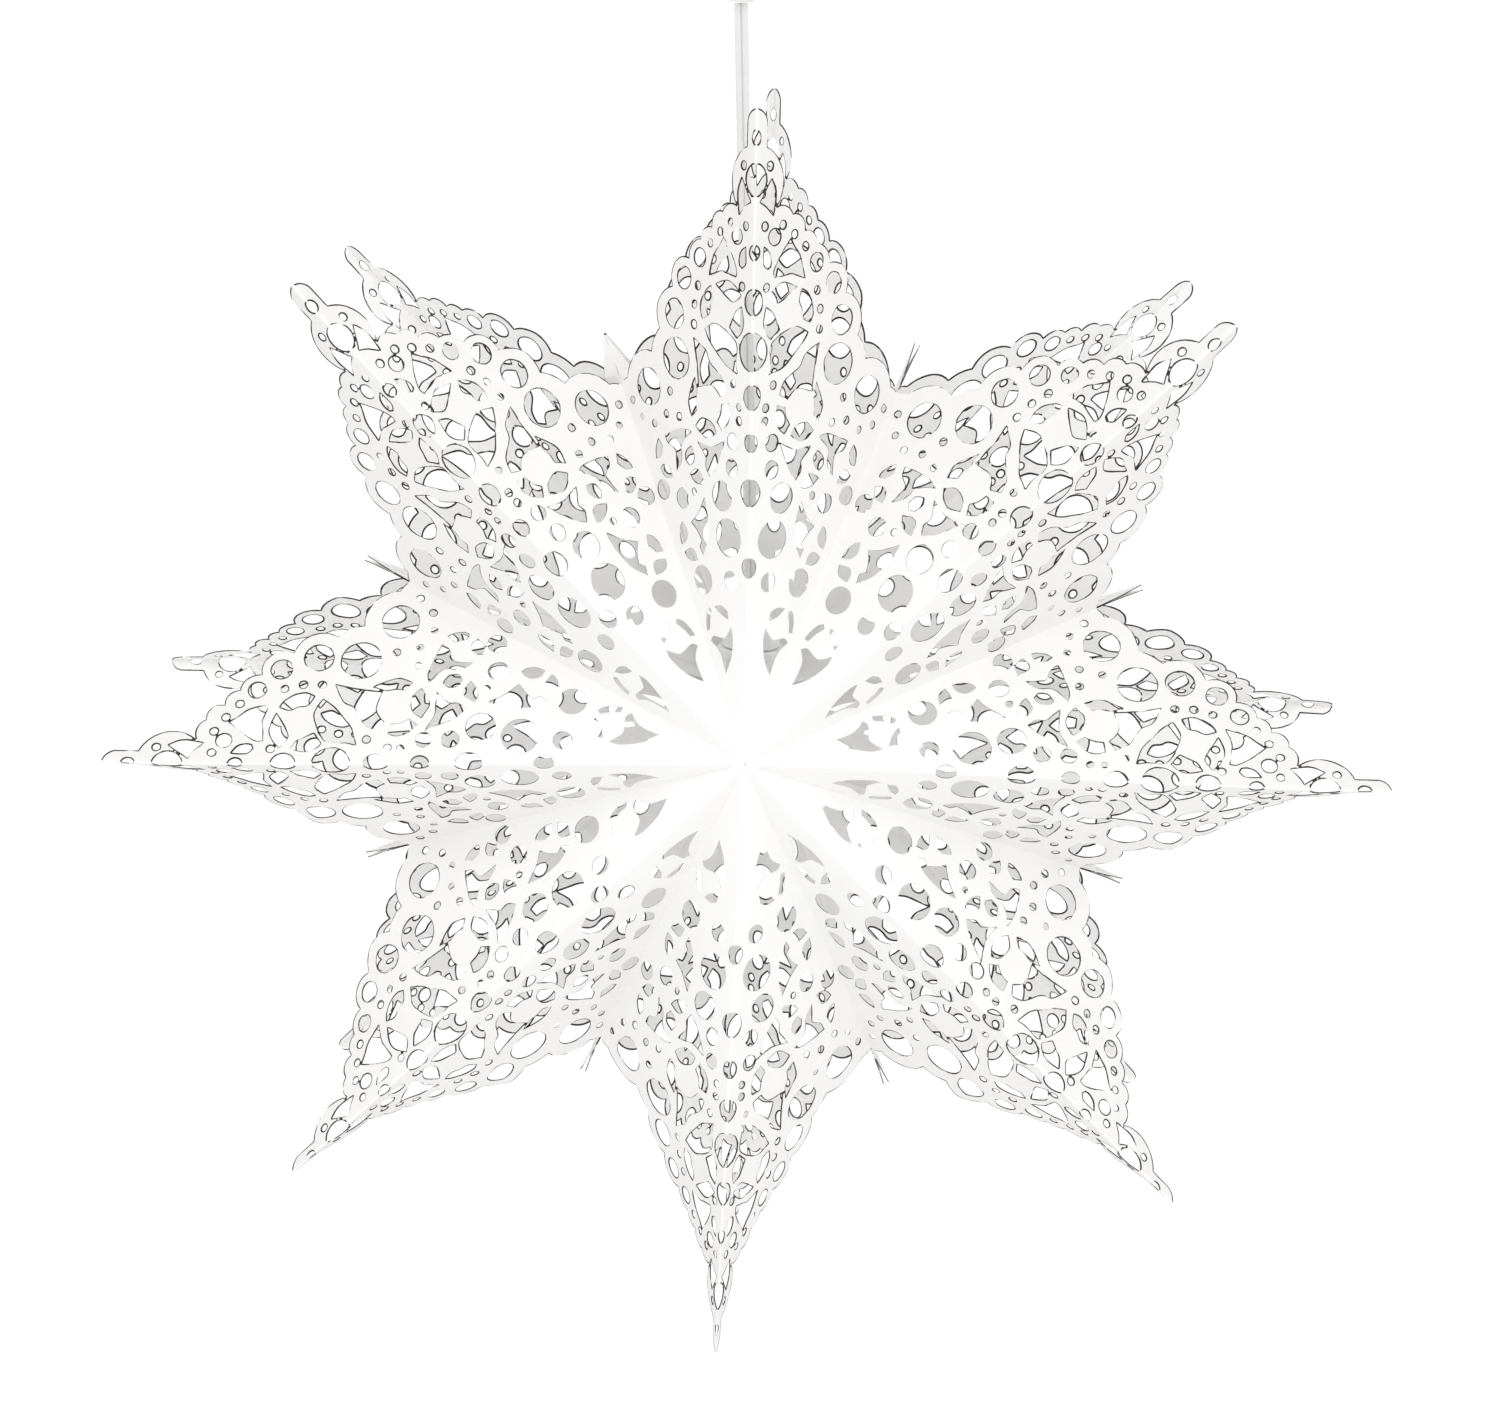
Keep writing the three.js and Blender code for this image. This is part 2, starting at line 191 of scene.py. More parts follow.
# The flaps, which stand inwards along each seam.
FLAP_START = 6 * MM      # from the star's axis to a flap's inner end
FLAP_DROP = 0.5 * MM     # from the seam's line down to a flap's outer edge
FLAP_MIDDLE = 0.02 * MM  # from the star's middle plane to the flap's other edge, where it is nearest
FLAP_BLUNT = 0.4 * MM    # how much of a flap's sharp end is cut off
FLAP_STEPS = (30, 34)    # rows of points before and after a flap starts to taper
FLAP_ROWS = np.array((0, 0.06, 0.2, 0.4, 0.6, 0.8, 0.94, 1))  # across a flap, closer at its edges
FLAP_SCORCH_AND_SHADE = 0.45       # scorch and painted edge shade on the free edges of a seam's sharp end
SPIKE_START = 178 * MM   # where a seam's sharp end comes free of the lace
SPLAY = 1.2 * MM         # how far each of a spike's two layers has sprung open
TWIST = dict(start=171 * MM, end=182 * MM, angle=math.radians(84))  # how the closing spikes are bent
PAD = dict(depth=-8.2, along=160, radius=5, thickness=0.6)  # in millimetres
PAD_BULGE = 22 * MM      # how far along the seam the closing flaps take to meet beside their pads
CLOSING_GAP = 0.24 * MM  # from the closing seam's plane to each closing flap, where they meet

# The lamp and its cord, in millimetres where a profile is listed as (radius, z).
RING = dict(radius=15.2 * MM, wire=1.1 * MM)
HANGER_REACH = 70 * MM
CORD_LENGTH = 290 * MM
CORD_WIDTH = 6.2 * MM
CORD_LEAN = math.radians(-3)
CORD_STEPS = 22
HOLDER_TOP = 38
CAP_TOP = 52
GAP = 0.3  # between pieces that touch
BASE = dict(radius=7, top=-14.3, bottom=-19)
BULB = dict(radius=17.5, neck=7.5)

CAMERA = dict(place=(14.4, -1388.9, 381.1), target=(-0.3, 0, 6.9), roll=0.036, lens=70.7)
FLOOR = dict(half=100, height=-1.4)  # in metres


# --- Materials -------------------------------------------------------------------------------------

def new_material(name):
    """A material and its Principled shader."""
    material = bpy.data.materials.new(name)
    material.use_nodes = True
    return material, material.node_tree.nodes["Principled BSDF"]


def noise(material, scale, detail=4.0, stretch=(1, 1, 1)):
    """Noise over the object's own coordinates, in features per metre."""
    nodes, links = material.node_tree.nodes, material.node_tree.links
    coordinates = nodes.new("ShaderNodeTexCoord")
    mapping = nodes.new("ShaderNodeMapping")
    mapping.inputs["Scale"].default_value = stretch
    texture = nodes.new("ShaderNodeTexNoise")
    texture.inputs["Scale"].default_value = scale
    texture.inputs["Detail"].default_value = detail
    links.new(coordinates.outputs["Object"], mapping.inputs["Vector"])
    links.new(mapping.outputs["Vector"], texture.inputs["Vector"])
    return texture.outputs["Fac"]


def ramp(material, factor, stops):
    """A colour ramp: stops is a list of (place, colour)."""
    node = material.node_tree.nodes.new("ShaderNodeValToRGB")
    elements = node.color_ramp.elements
    for element, (place, colour) in zip(elements, stops):
        element.position = place
        element.color = (*colour, 1)
    material.node_tree.links.new(factor, node.inputs["Fac"])
    return node.outputs["Color"]


def spread(material, factor, low, high, start=0.3, end=0.7):
    """Maps start to end, which hold most of a noise, onto low to high."""
    node = material.node_tree.nodes.new("ShaderNodeMapRange")
    node.inputs["From Min"].default_value = start
    node.inputs["From Max"].default_value = end
    node.inputs["To Min"].default_value = low
    node.inputs["To Max"].default_value = high
    material.node_tree.links.new(factor, node.inputs["Value"])
    return node.outputs["Result"]


def bump(material, shader, height, strength, distance):
    """Fine relief, up to distance high in metres."""
    node = material.node_tree.nodes.new("ShaderNodeBump")
    node.inputs["Strength"].default_value = strength
    node.inputs["Distance"].default_value = distance
    material.node_tree.links.new(height, node.inputs["Height"])
    material.node_tree.links.new(node.outputs["Normal"], shader.inputs["Normal"])


def marked(material, name):
    """The value that the mesh carries at each point under this name."""
    node = material.node_tree.nodes.new("ShaderNodeAttribute")
    node.attribute_name = name
    return node.outputs["Fac"]


def mixed(material, factor, first, second):
    """One colour over another by the factor. The second may be a plain colour."""
    node = material.node_tree.nodes.new("ShaderNodeMix")
    node.data_type = "RGBA"
    links = material.node_tree.links
    links.new(factor, node.inputs["Factor"])
    links.new(first, node.inputs["A"])
    if isinstance(second, tuple):
        node.inputs["B"].default_value = (*second, 1)
    else:
        links.new(second, node.inputs["B"])
    return node.outputs["Result"]


def times(material, first, second):
    """The product of two values, kept between 0 and 1."""
    node = material.node_tree.nodes.new("ShaderNodeMath")
    node.operation = "MULTIPLY"
    node.use_clamp = True
    material.node_tree.links.new(first, node.inputs[0])
    material.node_tree.links.new(second, node.inputs[1])
    return node.outputs["Value"]


def card_material(name, pale, deep):
    """Matt card: a cloudy shade, short fibres, painted light where the mesh marks it, and near-black scorch
    with painted shade along its cuts.
    """
    material, shader = new_material(name)
    links = material.node_tree.links
    cloud = ramp(material, noise(material, 45), [(0.35, deep), (0.65, pale)])
    # Painted light: near-white as a painted highlight along the ridge's crease, and as painted light on the
    # inner face and on the outer face by the hub.
    painted_lit = mixed(material, marked(material, "white"), cloud, (0.97, 0.968, 0.96))
    uneven = spread(material, noise(material, 110), 0.5, 3.2)
    # Near-black along the cuts: the cutter's scorch together with painted shade at the card's edges.
    scorch_and_shade = spread(material, times(material, marked(material, "scorch_and_shade"), uneven), 0, 1, 0.5, 0.75)
    soot_and_shade_tones = [(0.35, (0.008, 0.007, 0.009)), (0.65, (0.06, 0.045, 0.04))]
    soot_and_shade = ramp(material, noise(material, 700), soot_and_shade_tones)
    links.new(mixed(material, scorch_and_shade, painted_lit, soot_and_shade), shader.inputs["Base Color"])
    links.new(spread(material, noise(material, 260), 0.78, 0.92), shader.inputs["Roughness"])
    fibres = noise(material, 1500, 6, (1, 1, 0.35))
    bump(material, shader, fibres, 0.25, 0.05 * MM)
    shader.inputs["Specular IOR Level"].default_value = 0.35
    return material


def plastic_material(name, colour, roughness):
    """Moulded plastic: a hint of flow marks and an uneven sheen."""
    material, shader = new_material(name)
    darker = tuple(0.965 * channel for channel in colour)
    shade = ramp(material, noise(material, 60), [(0.3, darker), (0.7, colour)])
    material.node_tree.links.new(shade, shader.inputs["Base Color"])
    sheen = spread(material, noise(material, 400), roughness - 0.06, roughness + 0.08)
    material.node_tree.links.new(sheen, shader.inputs["Roughness"])
    bump(material, shader, noise(material, 2200, 3), 0.12, 0.03 * MM)
    return material


def steel_material():
    """Bright drawn wire, with fine marks along it."""
    material, shader = new_material("steel_wire")
    shader.inputs["Metallic"].default_value = 1
    streaks = noise(material, 300, 4, (1, 0.1, 1))
    tone = ramp(material, streaks, [(0.3, (0.62, 0.62, 0.61)), (0.7, (0.8, 0.8, 0.79))])
    material.node_tree.links.new(tone, shader.inputs["Base Color"])
    marks = spread(material, noise(material, 900, 5, (1, 0.05, 1)), 0.2, 0.4)
    material.node_tree.links.new(marks, shader.inputs["Roughness"])
    return material


def opal_material():
    """The bulb's glass, coated white inside."""
    material, shader = new_material("frosted_glass")
    tone = ramp(material, noise(material, 80), [(0.3, (0.9, 0.89, 0.86)), (0.7, (0.95, 0.945, 0.93))])
    material.node_tree.links.new(tone, shader.inputs["Base Color"])
    haze = spread(material, noise(material, 500), 0.2, 0.34)
    material.node_tree.links.new(haze, shader.inputs["Roughness"])
    shader.inputs["Coat Weight"].default_value = 0.5
    shader.inputs["Coat Roughness"].default_value = 0.05
    return material


def felt_material():
    """Hook and loop tape: a dense matt nap."""
    material, shader = new_material("closure_felt")
    shader.inputs["Roughness"].default_value = 0.95
    nap = noise(material, 2600, 6)
    tone = ramp(material, nap, [(0.35, (0.74, 0.74, 0.72)), (0.65, (0.92, 0.92, 0.9))])
    material.node_tree.links.new(tone, shader.inputs["Base Color"])
    bump(material, shader, nap, 0.8, 0.25 * MM)
    return material


def floor_material():
    """A plain pale floor with the faintest clouding."""
    material, shader = new_material("studio_floor")
    shader.inputs["Roughness"].default_value = 0.9
    tone = ramp(material, noise(material, 1.5), [(0.3, (0.93, 0.93, 0.93)), (0.7, (0.95, 0.95, 0.95))])
    material.node_tree.links.new(tone, shader.inputs["Base Color"])
    return material


materials = {
    "lace_card": card_material("lace_card", (0.83, 0.822, 0.802), (0.8, 0.791, 0.77)),
    # The flaps are the same card as the lace, painted lighter: painted light against the shade on the
    # flaps.
    "flap_card": card_material("flap_card", (0.93, 0.924, 0.905), (0.905, 0.897, 0.875)),
    "white_plastic": plastic_material("white_plastic", (0.88, 0.88, 0.86), 0.4),
    "cord_sheath": plastic_material("cord_sheath", (0.78, 0.78, 0.775), 0.45),
    "steel_wire": steel_material(),
    "frosted_glass": opal_material(),
    "closure_felt": felt_material(),
}


# --- Mesh helpers ----------------------------------------------------------------------------------

def add_mesh(name, vertices, faces, slot, smooth_angle=40):
    """A new object from points in the row frame, in metres, with its material."""
    mesh = bpy.data.meshes.new(name)
    points = [tuple(map(float, vertex)) for vertex in vertices]
    mesh.from_pydata(points, [], [tuple(map(int, face)) for face in faces])
    mesh.polygons.foreach_set("use_smooth", [True] * len(mesh.polygons))
    mesh.set_sharp_from_angle(angle=math.radians(smooth_angle))
    mesh.materials.append(materials[slot])
    piece = bpy.data.objects.new(name, mesh)
    bpy.context.scene.collection.objects.link(piece)
    return piece


def flatten(piece):
    """Gives the piece a mesh of its own."""
    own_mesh(piece)


def install(piece, body, slot, *nodes):
    """The piece rides on a CAD body and stands for CAD nodes."""
    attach(piece, body)
    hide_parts(*nodes)


def on_circle(radius, azimuth, y=0.0):
    """A point round the star's axis. The azimuth turns from +X towards +Z."""
    return np.array([radius * math.cos(azimuth), y, radius * math.sin(azimuth)])


def point_azimuth(index):
    """The direction of a point's ridge. The points are counted clockwise from the top."""
    return math.pi / 2 - index * STEP


def seam_azimuth(index):
    """The direction of the seam just anticlockwise of a point."""
    return math.pi / 2 + STEP / 2 - index * STEP


# --- The flat lace ---------------------------------------------------------------------------------

def arc(u, v, radius, start, end):
    """Points round an arc, both ends included, about as close as its size needs."""
    count = max(4, round(abs(end - start) / math.tau * (10 + 2.4 * radius)))
    angles = np.linspace(start, end, count + 1)
    return np.column_stack((u + radius * np.cos(angles), v + radius * np.sin(angles)))


def circle(u, v, radius):
    """A round hole's outline."""
    return arc(u, v, radius, 0, math.tau)[:-1]


def rim_cusp(first, second):
    """Where two lobes of the rim meet, on the side away from the panel's middle."""
    (u0, v0, r0), (u1, v1, r1) = first, second
    gap = math.hypot(u1 - u0, v1 - v0)
    along = (gap * gap + r0 * r0 - r1 * r1) / (2 * gap)
    across = math.sqrt(r0 * r0 - along * along)
    way = np.array([u1 - u0, v1 - v0]) / gap
    foot, sideways = np.array([u0, v0]) + along * way, across * np.array([-way[1], way[0]])
    return max(foot + sideways, foot - sideways, key=lambda place: math.dist(place, PANEL_MIDDLE))


def panel_outline():
    """The outline of one panel: out along the ridge, back round the lobed rim and in along the seam."""
    stretches = [np.array([[HUB_HOLE, 0]])]
    for u, radius in RIDGE_HOLES:
        stretches.append(np.array([[u - radius - SCORCH_AND_SHADE_BAND, 0]]))
        stretches.append(arc(u, 0, radius, math.pi, 0))
        stretches.append(np.array([[u + radius + SCORCH_AND_SHADE_BAND, 0]]))
    root = RIM[0][0] + math.sqrt(RIM[0][2] ** 2 - (TONGUE["half_width"] - RIM[0][1]) ** 2)
    tongue_end = math.asin(TONGUE["half_width"] / TONGUE["r"])
    stretches.append(arc(TONGUE["u"], 0, TONGUE["r"], 0, tongue_end))
    start = np.array([root, TONGUE["half_width"]])
    for lobe, following in zip(RIM, RIM[1:] + (None,)):
        u, v, radius = lobe
        if following:
            end = rim_cusp(lobe, following)
            until = math.atan2(end[1] - v, end[0] - u)
        else:
            inset = u * math.sin(SEAM_ANGLE) - v * math.cos(SEAM_ANGLE)
            until = SEAM_ANGLE + math.asin(inset / radius)
        stretches.append(arc(u, v, radius, math.atan2(start[1] - v, start[0] - u), until))
        start = end
    seam = np.array([math.cos(SEAM_ANGLE), math.sin(SEAM_ANGLE)])
    stretches.append(np.outer((np.linalg.norm(stretches[-1][-1]) - SCORCH_AND_SHADE_BAND, HUB_HOLE), seam))
    return without_repeats(np.vstack(stretches))


def divided(loop):
    """The same loop with its long stretches cut into short ones."""
    parts = []
    for start, end in zip(loop, np.roll(loop, -1, axis=0)):
        count = math.ceil(np.linalg.norm(end - start) / LONGEST)
        parts.append(start + np.outer(np.arange(count) / count, end - start))
    return np.vstack(parts)


def without_repeats(loop):
    """The same loop without the points that all but coincide with the one before."""
    gaps = np.linalg.norm(loop - np.roll(loop, 1, axis=0), axis=1)
    return loop[gaps > 0.05]


def smooth_loop(points, steps=5):
    """A closed curve through the points, smooth except at its sharp corners."""
    points = np.array(points, float)
    before, after = points - np.roll(points, 1, axis=0), np.roll(points, -1, axis=0) - points
    turn = np.abs((np.arctan2(after[:, 1], after[:, 0]) - np.arctan2(before[:, 1], before[:, 0]) + math.pi)
                  % math.tau - math.pi)
    tangents = (before + after) / 2
    tangents[turn > CORNER] = 0
    curve = []
    for i in range(len(points)):
        j = (i + 1) % len(points)
        leave = tangents[i] if turn[i] <= CORNER else after[i] * 0.5
        arrive = tangents[j] if turn[j] <= CORNER else after[i] * 0.5
        for t in np.arange(steps) / steps:
            curve.append(
                (2 * t**3 - 3 * t**2 + 1) * points[i] + (t**3 - 2 * t**2 + t) * leave
                + (3 * t**2 - 2 * t**3) * points[j] + (t**3 - t**2) * arrive
            )
    return without_repeats(np.array(curve))


def inside(places, loops):
    """Which places are on card: within the outline and in no hole."""
    odd = np.zeros(len(places), bool)
    for loop in loops:
        ends = np.roll(loop, -1, axis=0)
        for (u0, v0), (u1, v1) in zip(loop, ends):
            if v0 == v1:
                continue
            spans = (places[:, 1] > min(v0, v1)) & (places[:, 1] <= max(v0, v1))
            crossing = u0 + (places[:, 1] - v0) * (u1 - u0) / (v1 - v0)
            odd ^= spans & (crossing > places[:, 0])
    return odd


def beside(loop, distance):
    """Points at a distance outside a closed loop, or inside it where the distance is negative."""
    along = np.roll(loop, -1, axis=0) - np.roll(loop, 1, axis=0)
    turning = np.sum(loop[:, 0] * along[:, 1] - loop[:, 1] * along[:, 0])
    outwards = np.column_stack((along[:, 1], -along[:, 0])) * np.sign(turning)
    return loop + distance * outwards / np.linalg.norm(outwards, axis=1)[:, None]


def inner_points(loops):
    """Mesh points over the card: beside each cut, in rows beside the ridge, and in an even grid."""
    rows = [
        [(u + (row % 2) * GRID / 2, v) for u in np.arange(0, TIP_RADIUS / MM, GRID)]
        for row, v in enumerate(np.arange(GRID / 2, PANEL_WIDTH, GRID_ROWS))
    ]
    rows += [[(u, v) for u in np.arange(4, TIP_RADIUS / MM - 2, LONGEST)] for v in CREASE_LINES]
    grid = np.array([place for row in rows for place in row])
    bands = np.vstack([beside(loops[0], -SCORCH_AND_SHADE_BAND)] + [beside(hole, SCORCH_AND_SHADE_BAND) for hole in loops[1:]])
    wanted = np.where(grid[:, 1] > CREASE_LINES[-1], 2 * SCORCH_AND_SHADE_BAND, CREASE_GAP)
    clear_grid = nearest_gap(grid, np.vstack(loops)) > wanted
    clear_band = nearest_gap(bands, np.vstack(loops)) > 0.8 * SCORCH_AND_SHADE_BAND
    places = np.vstack((grid[clear_grid], bands[clear_band & (bands[:, 1] > CREASE_LINES[-1])]))
    return places[inside(places, loops)]


def nearest_gap(places, others):
    """From each place to the nearest of the others."""
    return np.array([np.min(np.hypot(*(others - place).T)) for place in places])


def flat_lace():
    """The panel's flat mesh: points, triangles, directed edges round every opening, and how near each
    point is to a cut, from 0 to 1."""
    loops = [divided(panel_outline())]
    loops += [circle(*hole) for hole in ROUND_HOLES]
    loops += [circle(u, v, DOT_RADIUS) for u, v in DOTS]
    loops += [smooth_loop(cut) for rosette in ROSETTES.values() for cut in rosette]
    places, edges = [], []
    for loop in loops:
        first = len(places)
        places += [tuple(place) for place in loop]
        edges += [(first + i, first + (i + 1) % len(loop)) for i in range(len(loop))]
    places += [tuple(place) for place in inner_points(loops)]
    vertices, _, triangles, *_ = geometry.delaunay_2d_cdt([Vector(p) for p in places], edges, [], 0, 1e-5)
    uv = np.array([tuple(v) for v in vertices])
    triangles = np.array([tuple(t) for t in triangles])
    triangles = triangles[inside(uv[triangles].mean(axis=1), loops)]
    used, compact = np.unique(triangles, return_inverse=True)
    triangles = compact.reshape(-1, 3)
    directed = {(a, b) for t in triangles for a, b in ((t[0], t[1]), (t[1], t[2]), (t[2], t[0]))}
    border = [(a, b) for a, b in directed if (b, a) not in directed]
    cuts = np.vstack(loops)
    bearings = np.arctan2(cuts[:, 1], cuts[:, 0])
    cuts = cuts[(cuts[:, 1] > 0.01) & (bearings < SEAM_ANGLE - 0.0005)]  # the ridge and the seam aren't cut
    nearness = np.clip(1 - nearest_gap(uv[used], cuts) / (0.8 * SCORCH_AND_SHADE_BAND), 0, 1)
    return uv[used], triangles, sorted(border), nearness


# --- Lace panels -----------------------------------------------------------------------------------

def swung(radius, azimuth, y, swing):
    """A point round the axis, moved sideways by its swing in millimetres."""
    return on_circle(radius, azimuth, y) + swing * MM * on_circle(1, azimuth + math.pi / 2)


def seam_end(index, swing):
    """The sharp end of the seam just anticlockwise of a point."""
    return swung(NOTCH_RADIUS, seam_azimuth(index), 0, swing * SEAM_SWING[index % len(POINTS)])


def unit(vector):
    """The same direction, one long."""
    return vector / np.linalg.norm(vector)


def panel_frame(index, face, side, swing=1):
    """The hub, and one panel's directions of u, v and its outward normal, with a share of its swings."""
    hub = np.array([0, FACES[face] * HUB_DEPTH, 0])
    tip_swing = swing * TIP_SWING[face][POINTS[index]]
    tip = swung(TIP_RADIUS, point_azimuth(index), FACES[face] * TIP_DEPTH, tip_swing)
    notch = seam_end(index if side == "left" else index + 1, swing)
    ideal_ridge = math.hypot(TIP_RADIUS, TIP_DEPTH - HUB_DEPTH)
    along = (tip - hub) / ideal_ridge
    seam_length = math.hypot(NOTCH_RADIUS, HUB_DEPTH)
    across = (notch - hub) / seam_length - math.cos(SEAM_ANGLE) * along
    across /= math.sin(SEAM_ANGLE)
    normal = unit(np.cross(along, across))
    if normal[1] * FACES[face] < 0:
        normal = -normal
    return hub, along, across, normal


def inward_turn(u, index, face, side):
    """How far one half of a point has folded in at each place along its ridge, in radians."""
    full = math.radians(TIP_FOLD[face][POINTS[index]][list(SIDES).index(side)])
    start = FOLD_START[POINTS[index]]
    return full * np.clip((u - start) / (TIP_RADIUS / MM - start), 0, 1)


def panel_surface(uv, index, face, side, bow):
    """The outer and inner surface of one panel, and how near each point is to its crease."""
    hub, along, across, normal = panel_frame(index, face, side)
    twin = panel_frame(index, face, "right" if side == "left" else "left")[3]
    outward = unit(normal + twin)
    u, v = uv[:, 0] * MM, uv[:, 1] * MM
    share = np.arctan2(uv[:, 1], uv[:, 0]) / SEAM_ANGLE
    bulge = bow * np.sin(math.pi * np.clip(share, 0, 1)) * (u / BOW_RADIUS) ** 1.5
    curl = TIP_CURL * np.clip((uv[:, 0] - CURL_START) / (TIP_RADIUS / MM - CURL_START), 0, 1) ** 2
    crease = np.exp(-uv[:, 1] / CREASE_WIDTH)
    turn = inward_turn(uv[:, 0], index, face, side)
    widthways = np.outer(np.cos(turn), across) - np.outer(np.sin(turn), normal * np.linalg.norm(across))
    turned = np.outer(np.cos(turn), normal) + np.outer(np.sin(turn), unit(across))
    outer = hub + np.outer(u, along) + v[:, None] * widthways + bulge[:, None] * turned
    outer += np.outer(-curl * FACES[face], [0, 1, 0]) - np.outer(CREASE_ROUND * crease, outward)
    mitre = outward / outward.dot(normal) - normal
    inwards = -CARD * (turned + np.outer(np.clip(1 - uv[:, 1] / CREASE_LINES[-1], 0, 1), mitre))
    return outer, outer + inwards, crease


def sheet_faces(triangles, border, count, flipped):
    """Closes an outer and an inner layer into one thin solid."""
    outer = [tuple(t) for t in triangles]
    inner = [(a + count, c + count, b + count) for a, b, c in triangles]
    walls = [(b, a, a + count, b + count) for a, b in border]
    faces = outer + inner + walls
    return [face[::-1] for face in faces] if flipped else faces


def mark(piece, name, *values):
    """Writes a value for each of the mesh's points, for its material to read."""
    attribute = piece.data.attributes.new(name, "FLOAT", "POINT")
    attribute.data.foreach_set("value", np.concatenate(values).astype(np.float32))


def add_panels():
    """All 32 panels, from one flat drawing of the lace."""
    uv, triangles, border, nearness = flat_lace()
    # Darkening along the cuts, scorch with painted shade, weaker towards the hub and different on each
    # face.
    scorch_and_shade = nearness * np.interp(uv[:, 0], *HUB_FADE)
    outer_scorch_and_shade = scorch_and_shade * np.interp(uv[:, 0], *OUTER_SCORCH_AND_SHADE)
    inner_scorch_and_shade = scorch_and_shade * np.interp(uv[:, 0], *INNER_SCORCH_AND_SHADE)
    # Painted light on the outer face, strongest towards the hub.
    outer_painted_light = np.interp(uv[:, 0], *OUTER_PAINTED_LIGHT)
    random = np.random.default_rng(SEED)
    for index, point in enumerate(POINTS):
        for face in FACES:
            for side in SIDES:
                outer, inner, crease = panel_surface(uv, index, face, side, random.uniform(*BOW))
                name = f"{point}_{face}_{side}"
                flipped = FACES[face] * SIDES[side] < 0
                faces = sheet_faces(triangles, border, len(uv), flipped)
                piece = add_mesh(f"{name}_lace", np.vstack((outer, inner)), faces, "lace_card")
                # Painted highlight along the crease, and painted light on the outer face by the hub and on
                # all the inner face.
                mark(piece, "white", np.maximum(crease, outer_painted_light), np.maximum(crease, INNER_PAINTED_LIGHT))
                # Scorch with painted shade along the cuts, on the outer and the inner face.
                mark(piece, "scorch_and_shade", outer_scorch_and_shade, inner_scorch_and_shade)
                hub, _, _, normal = panel_frame(index, face, side, swing=0)
                flatten(piece)
                install(piece, name, "lace_card", f"{name}_panel")


# --- Flaps -----------------------------------------------------------------------------------------

def flap_radii(drop, width):
    """The places of a flap's rows along its seam, and where its two edges would meet."""
    apex = (HUB_DEPTH - drop - FLAP_MIDDLE) / SEAM_SLOPE
    kink = (HUB_DEPTH - width - FLAP_MIDDLE) / SEAM_SLOPE
    straight = np.linspace(FLAP_START, kink, FLAP_STEPS[0])[:-1]
    tapered = np.linspace(kink, apex - FLAP_BLUNT, FLAP_STEPS[1])
    return np.concatenate((straight, tapered)), apex


def flap_grid(offset, bulge, splay, twist, face, index):
    """One layer of card in a seam's plane: rows of points from the hub out to the sharp end, the
    direction across them, and which points are on a free edge."""
    out, across = on_circle(1, seam_azimuth(index)), on_circle(1, seam_azimuth(index) + math.pi / 2)
    lean = math.cos(math.atan(SEAM_SLOPE))
    drop, width = FLAP_DROP / lean, FLAP_WIDTH / lean
    radii, apex = flap_radii(drop, width)
    swing = SEAM_SWING[index % len(POINTS)] * MM
    rows = []
    for radius in radii:
        line = HUB_DEPTH - radius * SEAM_SLOPE
        depths = line - drop + FLAP_ROWS * (max(FLAP_MIDDLE, line - width) - line + drop)
        free = max(0, radius - SPIKE_START) / (apex - SPIKE_START)
        turn = twist * np.clip((radius - TWIST["start"]) / (TWIST["end"] - TWIST["start"]), 0, 1)
        parted = bulge * math.exp(-((radius - PAD["along"] * MM) / PAD_BULGE) ** 2)
        sideways = offset + parted + splay * free**2 + swing * radius / NOTCH_RADIUS
        rows.append([
            radius * out + [0, FACES[face] * depth * math.cos(turn), 0]
            + (sideways + FACES[face] * depth * math.sin(turn)) * across
            for depth in depths
        ])
    edge = np.zeros((len(radii), len(FLAP_ROWS)))
    edge[-1] = 1
    edge[radii > SPIKE_START, 0] = edge[radii > SPIKE_START, -1] = 1
    return np.array(rows), across, edge


def grid_rim(length, width):
    """The numbers of a grid's points, once round its rim."""
    numbers = np.arange(length * width).reshape(length, width)
    rim = np.concatenate((numbers[:, 0], numbers[-1, 1:], numbers[-2::-1, -1], numbers[0, -2:0:-1]))
    return [int(k) for k in rim]


def flap_layer(rows, across, flipped):
    """Thickens a grid of points into a closed sheet of card."""
    length, width, _ = rows.shape
    flat = rows.reshape(-1, 3)
    along, over = np.gradient(rows, axis=0).reshape(-1, 3), np.gradient(rows, axis=1).reshape(-1, 3)
    normals = np.cross(along, over)
    normals /= np.linalg.norm(normals, axis=1)[:, None]
    normals *= np.sign(normals[0] @ across)
    count = len(flat)
    vertices = np.vstack((flat + normals * CARD / 2, flat - normals * CARD / 2))
    corners = [i * width + j for i in range(length - 1) for j in range(width - 1)]
    quads = [(k, k + width, k + width + 1, k + 1) for k in corners]
    rim = grid_rim(length, width)
    walls = [(b, a, a + count, b + count) for a, b in zip(rim, rim[1:] + rim[:1])]
    faces = quads + [tuple(k + count for k in quad[::-1]) for quad in quads] + walls
    return vertices, [face[::-1] for face in faces] if flipped else faces


